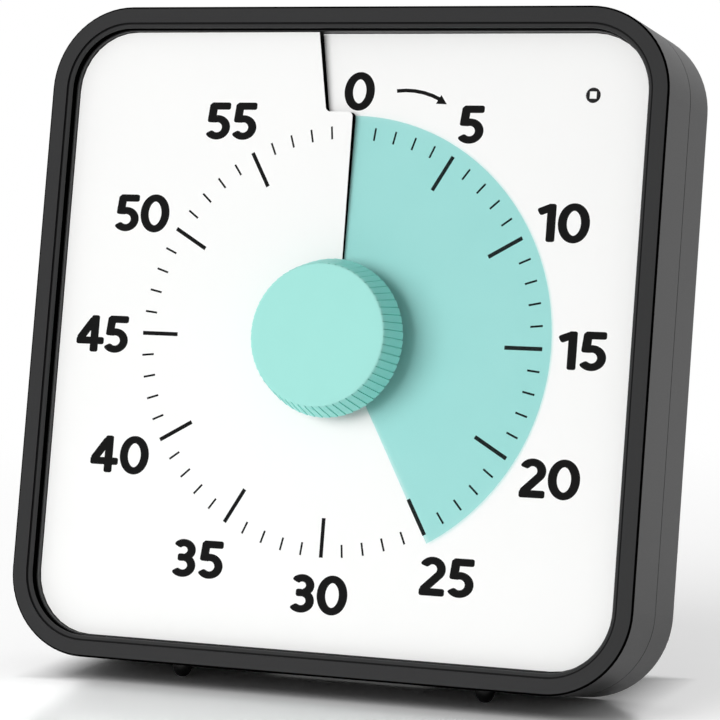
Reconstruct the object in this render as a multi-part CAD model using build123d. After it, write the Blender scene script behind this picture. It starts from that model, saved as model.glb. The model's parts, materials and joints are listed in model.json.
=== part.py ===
from build123d import *
import math
import os

# Countdown timer with a colour disc that shows the time left.
#
# Case frame used while modelling: X to the right, Y up along the dial, Z out of the dial
# towards the reader, with the origin where the knob's axis meets the dial. At the end the
# whole timer is leaned back on its feet and its stand, Z up, facing -Y.

# ---------------------------------------------------------------- driving dimensions, mm
# case
case_half = 90.0          # half of the square outline
case_corner = 23.0        # outer corner radius
rim_front = 5.2           # rim face above the dial
seam_z = -13.6            # where the front frame meets the back cover
back_z = -29.8            # outer face of the back cover
wall = 2.4                # side walls
back_wall = 2.2
front_skin = 2.2
rim_edge = 0.6            # rounding of the rim's outer edge
back_edge = 0.5           # rounding round the back
seam_bevel = 0.25         # small bevel on each shell along the seam
lip_height = 1.8          # tongue of the back cover inside the front frame
lip_wall = 1.4
lip_root = 2.0            # how far the tongue reaches down inside the back cover
shell_gap = 0.2           # clearance between the tongue and the front frame
merge = 0.1               # overlap of features that are moulded together
past = 1.0                # cuts run this far past what they cut

# rim and dial well
rim_width = 6.2           # outer edge to the wall round the dial
rim_step_width = 1.3      # narrow inner step of the rim
rim_step_drop = 0.4
rim_groove_width = 0.5
rim_groove_depth = 0.6
rim_bead = 0.8            # rounding of the inner step towards the dial
well_step_width = 0.3     # shelf part way down the wall round the dial
well_step_z = 1.8
well_wall = 1.7
ledge_width = 2.5         # ledge that the dial lies on
ledge_bottom = -4.4
rib_thickness = 1.2
ribs_per_side = 3
rib_pitch = 45.0

# dial sheet, a helical sheet cut from its centre hole to its edge at zero
dial_thickness = 0.3
dial_gap = 0.15           # dial edge to the wall of the well
dial_rise = 0.9           # rise of the sheets over one turn, at any radius
flap_rise_start = 16.0    # radius where the extra bend of the flaps begins
flap_rise_slope = 0.025   # extra step between the flaps per mm of radius
flap_angle = 50.0         # how far each side of the cut the flaps bend
sheet_step = 15.0         # degrees between the sections of a sheet
slit_gap = 0.1
tab_foot_x = -7.9         # the cut jogs left above the disc, round the zero
tab_top_x = -11.5
tab_corner = 1.4

# colour disc
disc_radius = 61.0
disc_thickness = 0.2
disc_margin = 1.0         # disc edge to the tab of the dial
set_minutes = 25.0        # time shown at rest

# knob, hub and shaft
knob_front = 13.8
knob_back = 5.3
knob_front_radius = 19.3
knob_back_radius = 21.5
knob_edge = 0.8           # rounding of the knob's front edge
knob_wall = 2.5
knob_cap = 2.2
knob_rib_count = 6
knob_rib = 1.2
knob_rib_rise = 1.5       # ribs end this far above the knob's rim
flute_count = 60
flute_depth = 0.55
flute_step = 0.10         # share of a flute's pitch that its steep side takes
hub_radius = 13.0
hub_gap = 0.8             # hub to the hole in the dial
hub_bottom = -1.4
hub_top = 3.2
hub_wall = 1.8
shaft_radius = 3.0
shaft_top = 11.0
shaft_flat = 0.6          # depth of the flat that drives the knob
shaft_pivot_radius = 1.5
shaft_boss_wall = 3.0     # wall of the knob's boss round the shaft
shaft_flange = 1.2        # collar over the output wheel
shaft_flange_width = 1.4
shaft_tail = 0.9          # end of the shaft's body under the output wheel
running_gap = 0.05        # radial clearance of shafts in their bushes
press_gap = 0.02          # radial clearance of parts pushed or screwed together

# gear train
gear_module = 0.6
pressure_angle = 25.0
output_teeth = 60
pinion_teeth = 12
reduction_teeth = 48
tooth_backlash = 0.10
addendum_share = 0.8
dedendum_share = 1.1
reduction_direction = 0.0     # from the knob's axis to the reduction wheel, degrees
rotor_direction = -90.0       # from the reduction wheel to the rotor, degrees
output_wheel_z = (-13.4, -11.8)
reduction_pinion_z = (-14.4, -11.4)
reduction_wheel_z = (-16.4, -15.0)
reduction_neck = 2.2
rotor_pinion_z = (-17.0, -14.5)
rotor_magnet_z = (-19.3, -17.2)
rotor_magnet_radius = 3.4
wheel_pivot_radius = 0.8
gear_bore_wall = 1.0          # shaft to the bore of the output wheel
clutch_thickness = 0.5
clutch_width = 2.6
clutch_notch_radius = 1.9
clutch_notch_reach = 3.2
clutch_arms = 3

# movement housing
movement_wall = 1.6
movement_gap = 3.2            # gears and coil to the housing
tray_left, tray_top = -25.5, 22.5
tray_floor = -21.5
lid_inner = -9.0
lid_thickness = 1.6
lid_corner = 1.5
lid_collar_wall = 2.6
lid_collar_top = -4.6
bush_radius = 2.2             # bosses round the wheel pivots in the lid
bush_height = 0.8
shaft_bush_radius = 4.0
shaft_bush_height = 1.6
pivot_floor = 0.4             # left under the pivots in the tray
pivot_end_gap = 0.1
pivot_in_lid = 1.2
ear_radius = 4.0
ear_thickness = 2.0
ear_reach = 2.6
ear_inset = 6.0               # screw ears from the tray's corners

# motor
stator_z = (-18.9, -17.8)
stator_width = 9.6
stator_leg = 5.0
stator_slot = 3.4
stator_eye = 1.6              # extra radius of the plate round the rotor
stator_hole_gap = 0.7
stator_left = -17.0
coil_y = -29.5
coil_z = -15.9
coil_radius = 3.5
coil_length = 22.0
coil_gap = 0.65
coil_flange_radius = 3.9
coil_flange_drop = 1.9
coil_flange = 1.2
core_width = 4.0
core_thickness = 1.1

# battery, size AA, and its bay
battery_radius = 7.15
battery_length = 49.0         # without the button
battery_edge = 0.6
battery_button_radius = 2.75
battery_button = 1.3
battery_y = 42.5
battery_lift = 0.65           # battery above the door
battery_gap = 0.3
bay_side_gap = 0.85
bay_half_length = 28.5
bay_wall = 1.6
contact_thickness = 0.4
contact_half_width = 5.0
contact_half_height = 5.5
contact_bump_radius = 2.0
leaf_half_width = 4.0
leaf_bend = 0.55              # the leaf turns over within this distance at its top
leaf_touch_high = 1.1         # flat that touches the battery, above and below its axis
leaf_touch_low = 1.4
leaf_tail_run = 1.4           # free end bent back from the battery
leaf_tail_low = 3.85

# battery door
door_half_length = 31.5
door_border = 2.2             # door beyond the bay
door_thickness = 1.6
door_corner = 0.8
door_gap = 0.2
door_seat_depth = 1.8
door_pad_depth = 3.8
door_pad_border = 3.4
door_travel = 6.0
tongue_length = 5.0
tongue_reach = 1.0
tongue_thickness = 0.8
tongue_places = (-6.6, 5.4)   # lower edge of each tongue from the door's middle
grip_count = 5
grip_pitch = 1.6
grip_width = 0.8
grip_depth = 0.5
grip_half_length = 8.0
grip_start = 3.0              # first groove below the door's upper edge

# folding stand
lean = 11.2                   # degrees that the case leans back on its stand
stand_open = 23.6             # degrees between the folded and the open stand
stand_half_width = 23.8
stand_tip_half_width = 18.0
stand_hinge_y = -14.0
stand_hinge_depth = 2.2       # hinge axis inside the back's outer face
stand_taper_start = 20.0      # straight sides below the hinge
stand_thickness = 3.2
stand_outer_offset = -1.9     # outer face of the leg from the hinge axis
stand_barrel = 2.1
stand_stop_gap = 0.05         # left between the open leg's heel and the recess floor
stand_pin_radius = 1.2
stand_side_gap = 0.5
stand_core_depth = 1.5
stand_core_border = 3.0
stand_core_start = 3.6        # hinge axis to the core, along the leg
stand_core_end = 9.0          # tip of the leg to the core
stand_rib = 1.4
stand_rib_x = 7.5
stand_rib_shares = (0.36, 0.66)   # cross ribs, as shares of the leg's length
stand_trim = 1.5              # cut off the leg where it meets the ground
stand_pad_height = 1.0
stand_pad_inset = 1.5
stand_pad_skin = 0.3
stand_pad_length = 15.0
recess_floor_gap = 0.3
recess_wall = 2.0
pin_end_wall = 0.4

# feet
foot_x = 44.6
foot_stem_radius = 2.2
foot_head_radius = 3.4
foot_head = 1.2
foot_radius = 2.7
foot_waist_radius = 2.45
foot_tip_radius = 1.5
foot_waist = 2.4              # the sides turn in below this height
foot_height = 3.9             # before the ground takes off its bevel
foot_drop = 3.4               # bottom of the case to the ground under a foot's middle

# screws
case_screw_inset = 13.8       # screws from the case's sides
case_screw_radius = 1.5
case_screw_head = 2.9
case_screw_head_height = 1.9
case_screw_depth = 8.8        # from the back to the seat of the head
case_screw_end_gap = 0.3
case_screw_tip = -6.4
head_gap = 0.3
shank_gap = 0.2
boss_radius = 3.6
back_boss_radius = 4.4
boss_sink = 1.0
small_screw_radius = 1.1
small_screw_head = 2.1
small_screw_head_height = 1.3
small_screw_length = 5.5
small_shank_gap = 0.15
pillar_radius = 3.2
pillar_floor = 1.2            # left under the pillars' screw holes

# indicator at the top right of the dial
led_inset_x, led_inset_y = 22.5, 22.8     # from the case's sides
led_holder_radius = 1.95
led_holder_edge = 0.2
led_hole_gap = 0.1
led_flange_radius = 3.0
led_flange_thickness = 1.0
led_flange_gap = 0.15
led_pocket_half = 1.0
led_pocket_gap = 0.05
led_stand_proud = 0.25
led_sink = 0.15
led_board_left, led_board_right = 6.0, 4.0
led_board_low, led_board_high = 5.0, 4.0
led_board_thickness = 1.0

# circuit board, volume switch and sounder
board_width = 34.0
board_half_height = 22.0
board_edge_gap = 8.0          # board to the case's side
board_lift = 7.6              # board above the back's outer face
board_thickness = 1.6
board_corner = 1.5
board_screw_inset = 4.5
board_screw_y = 16.5
chip_inset = (10.0, 11.0)     # from the board's left and lower edges
chip_radius = 4.5
chip_height = 1.4
chip_edge = 0.9
capacitor_inset = (10.0, 10.0)    # from the board's right and upper edges
capacitor_radius = 3.15
capacitor_height = 7.0
capacitor_edge = 0.5
switch_inset = 15.0           # from the board's right edge
switch_half_length = 7.0
switch_half_width = 3.6
switch_height = 3.6
switch_wall = 0.8
slider_travel = 6.0
slider_half_length = 2.2
slider_half_width = 1.6
slider_gap = 0.25
slider_proud = 0.5
slider_groove = 0.55
slider_groove_pitch = 1.1
slider_grooves = 3
slider_groove_depth = 0.4
finger_well_end = 3.0
finger_well_half_width = 4.0
finger_well_depth = 0.9
sounder_inset = 28.0          # from the case's left side
sounder_y = 28.0
sounder_radius = 10.0
sounder_height = 4.2
sounder_edge = 0.8
sounder_gap = 0.2
sounder_rib = 1.2
sounder_rib_height = 3.0
sounder_port_radius = 1.5
sounder_port_depth = 1.6
sound_hole_radius = 0.9
sound_hole_ring = 4.0
sound_hole_count = 6

# ---------------------------------------------------------------- what follows from them
back_inner = back_z + back_wall
back_middle = back_z + back_wall / 2
hollow_inset = rim_width - well_wall
sheet_start = hub_radius - past
sheet_reach = 1.5 * case_half
tab_bottom = disc_radius + disc_margin
dial_hole = hub_radius + hub_gap
knob_boss_radius = shaft_radius + shaft_boss_wall
gear_bore_radius = shaft_radius + gear_bore_wall

output_pitch = gear_module * output_teeth / 2
pinion_pitch = gear_module * pinion_teeth / 2
reduction_pitch = gear_module * reduction_teeth / 2
gear_tip = addendum_share * gear_module
half_tooth_turn = 180.0 / pinion_teeth
reduction_x = (output_pitch + pinion_pitch) * math.cos(math.radians(reduction_direction))
reduction_y = (output_pitch + pinion_pitch) * math.sin(math.radians(reduction_direction))
rotor_x = reduction_x + (reduction_pitch + pinion_pitch) * math.cos(math.radians(rotor_direction))
rotor_y = reduction_y + (reduction_pitch + pinion_pitch) * math.sin(math.radians(rotor_direction))

tray_right = reduction_x + reduction_pitch + gear_tip + movement_gap - movement_wall / 2
tray_bottom = coil_y - coil_flange_radius - movement_gap / 2 - movement_wall / 2
stator_right = stator_left + stator_leg + 2 * (coil_gap + coil_flange) + coil_length
case_screw_place = case_half - case_screw_inset
case_screw_seat = back_z + case_screw_depth

battery_z = back_z + door_thickness + battery_lift + battery_radius
bay_half_width = battery_radius + bay_side_gap
door_half_width = bay_half_width + door_border

stand_hinge_z = back_z + stand_hinge_depth
stand_inner_offset = stand_outer_offset + stand_thickness
recess_floor = stand_hinge_z + stand_barrel + recess_floor_gap
recess_half = stand_half_width + stand_side_gap
open_turn = math.radians(stand_open)
lean_turn = math.radians(lean)
stand_heel = ((recess_floor - stand_hinge_z - stand_stop_gap
               - stand_inner_offset * math.cos(open_turn)) / math.sin(open_turn))
recess_top = stand_hinge_y + math.hypot(stand_heel, stand_outer_offset) + recess_floor_gap
pin_reach = recess_half + recess_wall - pin_end_wall
dial_tilt = 90.0 - lean
ground_height = -(case_half + foot_drop) * math.cos(lean_turn) + seam_z * math.sin(lean_turn)
hinge_height = (stand_hinge_y * math.cos(lean_turn) + stand_hinge_z * math.sin(lean_turn)
                - ground_height)
stand_length = hinge_height / math.cos(open_turn - lean_turn) + stand_trim

board_x = (case_half - board_edge_gap - board_width, case_half - board_edge_gap)
board_y = (-board_half_height, board_half_height)
board_bottom = back_z + board_lift
board_top = board_bottom + board_thickness
switch_x = board_x[1] - switch_inset
slot_half_length = slider_travel / 2 + slider_half_length + slider_gap
slot_half_width = slider_half_width + slider_gap
sounder_x = sounder_inset - case_half
led_x, led_y = case_half - led_inset_x, case_half - led_inset_y


# ---------------------------------------------------------------- small helpers
def block(x, y, z):
    """Box between pairs of limits."""
    size = (x[1] - x[0], y[1] - y[0], z[1] - z[0])
    return Pos((x[0] + x[1]) / 2, (y[0] + y[1]) / 2, (z[0] + z[1]) / 2) * Box(*size)


def centred_block(middle, half_x, half_y, z):
    """Box of these half widths about a place, between two heights."""
    return block((middle[0] - half_x, middle[0] + half_x), (middle[1] - half_y, middle[1] + half_y), z)


def rod(x, y, radius, z):
    """Round bar along Z between two heights."""
    return Pos(x, y, (z[0] + z[1]) / 2) * Cylinder(radius, z[1] - z[0])


def cross_rod(y, z, radius, x):
    """Round bar along X between two places."""
    return Pos((x[0] + x[1]) / 2, y, z) * Rot(0, 90, 0) * Cylinder(radius, x[1] - x[0])


def slab(sketch, z):
    """Flat outline given its thickness between two heights."""
    return Pos(0, 0, z[0]) * extrude(sketch, z[1] - z[0])


def top_edges(body):
    return body.faces().sort_by(Axis.Z)[-1].edges()


def bottom_edges(body):
    return body.faces().sort_by(Axis.Z)[0].edges()


def case_outline(inset):
    """Rounded square concentric with the case, this far inside it."""
    half = case_half - inset
    return RectangleRounded(2 * half, 2 * half, case_corner - inset)


def case_band(outer_inset, inner_inset, z):
    """Ring that follows the case between two insets."""
    return slab(case_outline(outer_inset) - case_outline(inner_inset), z)


def screw_corners():
    """Places of the four case screws."""
    return [(sx * case_screw_place, sy * case_screw_place) for sx in (-1, 1) for sy in (-1, 1)]


def around(count, radius, start=0.0):
    """Places spread evenly round the origin."""
    turns = [math.radians(start + 360.0 * index / count) for index in range(count)]
    return [(radius * math.cos(turn), radius * math.sin(turn)) for turn in turns]


def at_clock(radius, angle, z):
    """Point at this radius, at an angle clockwise from the top."""
    turn = math.radians(angle)
    return Vector(radius * math.sin(turn), radius * math.cos(turn), z)


# ---------------------------------------------------------------- helical sheets
def flap_bend(angle):
    """Share of the flaps' extra step, from -0.5 right of the cut to 0.5 left of it."""
    from_cut = min(max(angle, 0.0), flap_angle)
    to_cut = min(max(360.0 - angle, 0.0), flap_angle)
    low = 0.5 + 0.5 * math.cos(math.pi * from_cut / flap_angle)
    high = 0.5 + 0.5 * math.cos(math.pi * to_cut / flap_angle)
    return 0.5 * (high - low)


def sheet_height(angle, radius):
    """Front of a sheet over the dial's mean plane, clockwise from its cut."""
    step = flap_rise_slope * (radius - flap_rise_start)
    return dial_rise * (angle / 360.0 - 0.5) + step * flap_bend(angle)


def facet(*points):
    return Face(Wire.make_polygon(points, close=True))


def helical_sheet(start, end, inner, outer, back, front):
    """Sheet of flat facets between radial sections, offset from sheet_height to back and front."""
    count = round((end - start) / sheet_step)
    sections = []
    for index in range(count + 1):
        angle = start + (end - start) * index / count
        edges = ((inner, back), (outer, back), (outer, front), (inner, front))
        sections.append([at_clock(radius, angle, sheet_height(angle, radius) + offset)
                         for radius, offset in edges])
    facets = [facet(*sections[0]), facet(*sections[-1])]
    for near, far in zip(sections, sections[1:]):
        for corner in range(4):
            following = (corner + 1) % 4
            facets.append(facet(near[corner], near[following], far[following]))
            facets.append(facet(near[corner], far[following], far[corner]))
    return Solid(Shell(facets))


# ---------------------------------------------------------------- gears
def involute_point(base, radius, offset):
    """Point of an involute flank at a radius, its start turned by an offset."""
    pressure = math.acos(min(1.0, base / radius))
    angle = offset + math.tan(pressure) - pressure
    return radius * math.cos(angle), radius * math.sin(angle)


def gear_outline(teeth, phase):
    """Spur gear outline with one tooth centred at an angle in degrees."""
    pitch = gear_module * teeth / 2
    base = pitch * math.cos(math.radians(pressure_angle))
    tip = pitch + gear_tip
    root = pitch - dedendum_share * gear_module
    flank_start = max(base, root)
    half_tooth = (math.pi * gear_module / 2 - tooth_backlash) / (2 * pitch)
    involute = math.tan(math.radians(pressure_angle)) - math.radians(pressure_angle)
    radii = [flank_start, (flank_start + tip) / 2, tip]
    lower = [involute_point(base, radius, -half_tooth - involute) for radius in radii]
    upper = [(x, -y) for x, y in reversed(lower)]
    root_half = math.atan2(lower[0][1], lower[0][0])
    if root < base:
        lower.insert(0, (root * math.cos(root_half), root * math.sin(root_half)))
        upper.append((root * math.cos(root_half), -root * math.sin(root_half)))
    points = []
    for index in range(teeth):
        turn = math.radians(phase) + 2 * math.pi * index / teeth
        for x, y in lower + upper:
            points.append((x * math.cos(turn) - y * math.sin(turn),
                           x * math.sin(turn) + y * math.cos(turn)))
    return make_face(Polyline(*points, close=True))


# ---------------------------------------------------------------- case
def make_front_frame():
    body = slab(case_outline(0), (seam_z, rim_front))
    body = fillet(top_edges(body), rim_edge)
    body = chamfer(bottom_edges(body), seam_bevel)
    body -= slab(case_outline(rim_width), (seam_z, rim_front))
    body -= case_band(wall, hollow_inset, (seam_z, rim_front - front_skin))
    body -= slab(case_outline(wall), (seam_z, ledge_bottom))
    step_inset = rim_width - rim_step_width
    body -= case_band(rim_width - well_step_width, rim_width, (well_step_z, rim_front))
    body -= case_band(step_inset, rim_width, (rim_front - rim_step_drop, rim_front))
    body -= case_band(step_inset - rim_groove_width, step_inset, (rim_front - rim_groove_depth, rim_front))
    step = body.faces().filter_by(Axis.Z).sort_by(Axis.Z)[-2]
    body = fillet(step.inner_wires()[0].edges(), rim_bead)
    # the ledge follows the helical dial that lies on it
    ledge = case_band(hollow_inset + merge, rim_width + ledge_width, (ledge_bottom, rim_front - front_skin))
    for start, end in ((-sheet_step, 180.0), (180.0, 360.0)):
        ledge -= helical_sheet(start, end, sheet_start, sheet_reach, -dial_thickness, rim_front)
    body += ledge
    across = (case_half - hollow_inset - merge, case_half - wall + merge)
    for index in range(ribs_per_side):
        middle = (index - (ribs_per_side - 1) / 2) * rib_pitch
        along = (middle - rib_thickness / 2, middle + rib_thickness / 2)
        for turn in range(4):
            body += Rot(0, 0, 90 * turn) * block(across, along, (ledge_bottom, rim_front - front_skin + merge))
    for x, y in screw_corners():
        body += rod(x, y, boss_radius, (seam_z, ledge_bottom + boss_sink))
    for x, y in screw_corners():
        body -= rod(x, y, case_screw_radius + press_gap, (seam_z, case_screw_tip))
    for side in (-1, 1):
        body -= foot_bore(side)
    return body


def foot_bore(side):
    """Hole for a foot's stem, half in each shell."""
    return (Pos(side * foot_x, -case_half + wall / 2, seam_z) * Rot(90, 0, 0)
            * Cylinder(foot_stem_radius + press_gap, wall + 2 * past))


def foot_head_room(side):
    """Notch in the tongue for the head of a foot."""
    return (Pos(side * foot_x, -case_half + wall + lip_wall, seam_z) * Rot(90, 0, 0)
            * Cylinder(foot_head_radius + shell_gap, 2 * lip_wall))


def make_back_cover():
    body = slab(case_outline(0), (back_z, seam_z))
    body = fillet(bottom_edges(body), back_edge)
    body = chamfer(top_edges(body), seam_bevel)
    body -= slab(case_outline(wall), (back_inner, seam_z))
    lip_inner = wall + shell_gap + lip_wall
    body += case_band(wall + shell_gap, lip_inner, (seam_z - lip_root, seam_z + lip_height))
    body += case_band(wall - merge, lip_inner, (seam_z - lip_root, seam_z - lip_root / 2))
    outer_half = recess_half + recess_wall
    body += block((-outer_half, outer_half), (-case_half + wall / 2, recess_top + recess_wall),
                  (back_middle, recess_floor + recess_wall))
    body = add_battery_bay(body)
    body = add_posts(body)
    body = add_switch_and_sounder_seats(body)
    body -= block((-recess_half, recess_half), (-case_half - past, recess_top),
                  (back_z - past, recess_floor))
    body -= cross_rod(stand_hinge_y, stand_hinge_z, stand_pin_radius + press_gap, (-pin_reach, pin_reach))
    for side in (-1, 1):
        body -= foot_bore(side)
        body -= foot_head_room(side)
    return body


def add_battery_bay(body):
    """Bay, its thicker surround, and the seat and slots of the sliding door."""
    pad_x = door_half_length + door_pad_border
    door_low = battery_y - door_half_width - door_travel
    door_high = battery_y + door_half_width
    body += block((-pad_x, pad_x), (door_low - door_pad_border, door_high + door_pad_border),
                  (back_middle, back_z + door_pad_depth))
    bay_top = battery_z + battery_radius + battery_gap
    place = (0, battery_y)
    body += centred_block(place, bay_half_length + bay_wall, bay_half_width + bay_wall,
                          (back_middle, bay_top + bay_wall))
    body -= centred_block(place, bay_half_length, bay_half_width, (back_z - past, bay_top))
    seat_x = door_half_length + door_gap
    body -= block((-seat_x, seat_x), (door_low - door_gap, door_high + door_gap),
                  (back_z - past, back_z + door_seat_depth))
    slot_z = (back_z + door_thickness - tongue_thickness - door_gap, back_z + door_seat_depth)
    for side in (-1, 1):
        slot_x = sorted((side * seat_x, side * (door_half_length + tongue_reach + door_gap)))
        for lower_edge in tongue_places:
            low = battery_y + lower_edge
            body -= block(slot_x, (low - door_travel - door_gap, low + tongue_length + door_gap), slot_z)
            body -= block(slot_x, (low - door_travel - door_gap, low - 2 * door_gap),
                          (back_z - past, slot_z[1]))
    return body


def add_posts(body):
    """Pillars for the movement and the board, bosses for the case screws."""
    for places, top in ((movement_ears(), tray_floor), (board_screw_places(), board_bottom)):
        for x, y in places:
            body += rod(x, y, pillar_radius, (back_middle, top))
            body -= rod(x, y, small_screw_radius + press_gap, (back_z + pillar_floor, top))
    for x, y in screw_corners():
        body += rod(x, y, back_boss_radius, (back_middle, seam_z))
    for x, y in screw_corners():
        body -= rod(x, y, case_screw_head + head_gap, (back_z - past, case_screw_seat))
        body -= rod(x, y, case_screw_radius + shank_gap, (case_screw_seat, seam_z))
    return body


def add_switch_and_sounder_seats(body):
    """Finger well and slot of the volume switch, ring and holes of the sounder."""
    switch_place = (switch_x, 0)
    body -= centred_block(switch_place, slot_half_length + finger_well_end, finger_well_half_width,
                          (back_z - past, back_z + finger_well_depth))
    body -= centred_block(switch_place, slot_half_length, slot_half_width, (back_z - past, back_inner))
    ring_radius = sounder_radius + sounder_gap
    body += rod(sounder_x, sounder_y, ring_radius + sounder_rib, (back_middle, back_inner + sounder_rib_height))
    body -= rod(sounder_x, sounder_y, ring_radius, (back_inner, back_inner + sounder_rib_height))
    for x, y in [(0, 0)] + around(sound_hole_count, sound_hole_ring):
        body -= rod(sounder_x + x, sounder_y + y, sound_hole_radius, (back_z - past, back_inner))
    return body


# ---------------------------------------------------------------- dial and colour disc
def tab_outline(gap, inner_x):
    """Region of the tab round the zero, grown by the width of the cut."""
    top = case_half
    low = tab_bottom - gap
    outline = make_face(Polyline((inner_x, low), (tab_foot_x - gap, low), (tab_top_x - gap, top),
                                 (inner_x, top), close=True))
    return fillet(outline.vertices().sort_by_distance((tab_foot_x, low))[0], tab_corner)


def make_dial_plate():
    half = case_half / 2
    cut = Pos(0, half) * Rectangle(slit_gap, case_half)
    right = Pos(half, 0) * Rectangle(case_half, 2 * case_half) - cut + tab_outline(0, slit_gap / 2)
    right = fillet(right.vertices().sort_by_distance((slit_gap / 2, tab_bottom))[0], tab_corner)
    left = Pos(-half, 0) * Rectangle(case_half, 2 * case_half) - tab_outline(slit_gap, 0) - cut
    left = fillet(left.vertices().sort_by_distance((-slit_gap / 2, tab_bottom - slit_gap))[0], tab_corner)
    outline = case_outline(rim_width + dial_gap) - Circle(dial_hole)
    outline -= Pos(led_x, led_y) * Circle(led_holder_radius + led_hole_gap)
    halves = []
    for region, start, end in ((right, -sheet_step, 180.0), (left, 180.0, 360.0)):
        deep = slab(outline & region, (-case_half, case_half))
        halves.append(deep & helical_sheet(start, end, sheet_start, sheet_reach, -dial_thickness, 0.0))
    return halves[0] + halves[1]


def make_colour_disc():
    sheet = helical_sheet(0.0, 360.0, sheet_start, disc_radius + past, -disc_thickness, 0.0)
    sheet &= slab(Circle(disc_radius) - Circle(hub_radius), (-case_half, case_half))
    return Rot(0, 0, -6.0 * set_minutes) * sheet


# ---------------------------------------------------------------- knob and its drive
def fluted_section(radius, z):
    """Section of the knob with ratchet-shaped flutes, as deep as its radius gives."""
    pitch = 2 * math.pi / flute_count
    valley = radius * (1.0 - flute_depth / knob_back_radius)
    points = []
    for index in range(flute_count):
        for share, reach in ((0.0, radius), (flute_step, valley)):
            turn = pitch * (index + share)
            points.append(Vector(reach * math.cos(turn), reach * math.sin(turn), z))
    return facet(*points)


def make_knob():
    taper = (knob_back_radius - knob_front_radius) / (knob_front - knob_back)
    face_radius = knob_front_radius - knob_edge
    body = loft([
        fluted_section(knob_back_radius, knob_back),
        fluted_section(knob_front_radius + taper * knob_edge, knob_front - knob_edge),
        fluted_section(face_radius, knob_front - knob_edge / 4)], ruled=True)
    body += rod(0, 0, face_radius - flute_depth, (knob_front - knob_edge, knob_front))
    # hollow behind the cap, with a boss and ribs
    ceiling = knob_front - knob_cap
    profile = Polyline((0, ceiling), (knob_front_radius - knob_wall, ceiling),
                       (knob_back_radius - knob_wall, knob_back), (0, knob_back), close=True)
    cavity = revolve(Plane.XZ * make_face(profile), Axis.Z)
    cavity -= rod(0, 0, knob_boss_radius, (knob_back, knob_front))
    for index in range(knob_rib_count):
        cavity -= (Rot(0, 0, 360.0 / knob_rib_count * index)
                   * block((0, knob_front_radius), (-knob_rib / 2, knob_rib / 2),
                           (knob_back + knob_rib_rise, knob_front)))
    body -= cavity
    body += rod(0, 0, knob_boss_radius, (hub_top, knob_back + merge))
    far = knob_back_radius
    bore = rod(0, 0, shaft_radius + press_gap, (hub_top, shaft_top + pivot_end_gap))
    bore -= block((shaft_radius - shaft_flat + press_gap, far), (-far, far), (hub_top - past, knob_front))
    return body - bore


def make_disc_hub():
    body = rod(0, 0, hub_radius, (hub_bottom, hub_top))
    body -= (rod(0, 0, hub_radius - hub_wall, (hub_wall, hub_top))
             - rod(0, 0, knob_boss_radius, (hub_wall, hub_top)))
    return body - rod(0, 0, shaft_radius + press_gap, (hub_bottom, hub_top))


def make_drive_shaft():
    wheel_bottom, wheel_top = output_wheel_z
    body = rod(0, 0, shaft_radius, (wheel_top, shaft_top))
    body -= block((shaft_radius - shaft_flat, case_half), (-case_half, case_half), (hub_top, shaft_top + past))
    body += rod(0, 0, gear_bore_radius - press_gap, (wheel_bottom - shaft_tail, wheel_top))
    body += rod(0, 0, gear_bore_radius + shaft_flange_width, (wheel_top, wheel_top + shaft_flange))
    return body + rod(0, 0, shaft_pivot_radius, (tray_floor + pivot_floor, wheel_bottom))


def make_output_wheel():
    body = slab(gear_outline(output_teeth, reduction_direction), output_wheel_z)
    return body - rod(0, 0, gear_bore_radius, output_wheel_z)


def make_clutch_spring():
    """Star washer that presses the output wheel on the shaft's collar."""
    spring_z = (output_wheel_z[0] - clutch_thickness, output_wheel_z[0])
    ring = rod(0, 0, gear_bore_radius + clutch_width, spring_z)
    for x, y in around(clutch_arms, gear_bore_radius + clutch_notch_reach, 90.0):
        ring -= rod(x, y, clutch_notch_radius, spring_z)
    return ring - rod(0, 0, gear_bore_radius, spring_z)


def wheel_pivot():
    """Steel pivot from the tray's floor to the lid."""
    return rod(0, 0, wheel_pivot_radius, (tray_floor + pivot_floor + pivot_end_gap, lid_inner + pivot_in_lid))


def make_reduction_wheel():
    pinion_phase = reduction_direction + 180.0 + half_tooth_turn
    body = slab(gear_outline(pinion_teeth, pinion_phase), reduction_pinion_z)
    body += rod(0, 0, reduction_neck, (reduction_wheel_z[1], reduction_pinion_z[0]))
    body += slab(gear_outline(reduction_teeth, rotor_direction), reduction_wheel_z)
    return Pos(reduction_x, reduction_y, 0) * (body + wheel_pivot())


def make_rotor_pinion():
    phase = rotor_direction + 180.0 + half_tooth_turn
    body = slab(gear_outline(pinion_teeth, phase), rotor_pinion_z)
    return Pos(rotor_x, rotor_y, 0) * (body + wheel_pivot())


def make_rotor_magnet():
    return (rod(rotor_x, rotor_y, rotor_magnet_radius, rotor_magnet_z)
            - rod(rotor_x, rotor_y, wheel_pivot_radius, rotor_magnet_z))


# ---------------------------------------------------------------- movement housing and motor
def movement_ears():
    """Places of the screw ears beside the tray."""
    return [(x, y) for x in (tray_left - ear_reach, tray_right + ear_reach)
            for y in (tray_bottom + ear_inset, tray_top - ear_inset)]


def pivot_places():
    return [(reduction_x, reduction_y), (rotor_x, rotor_y)]


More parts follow.
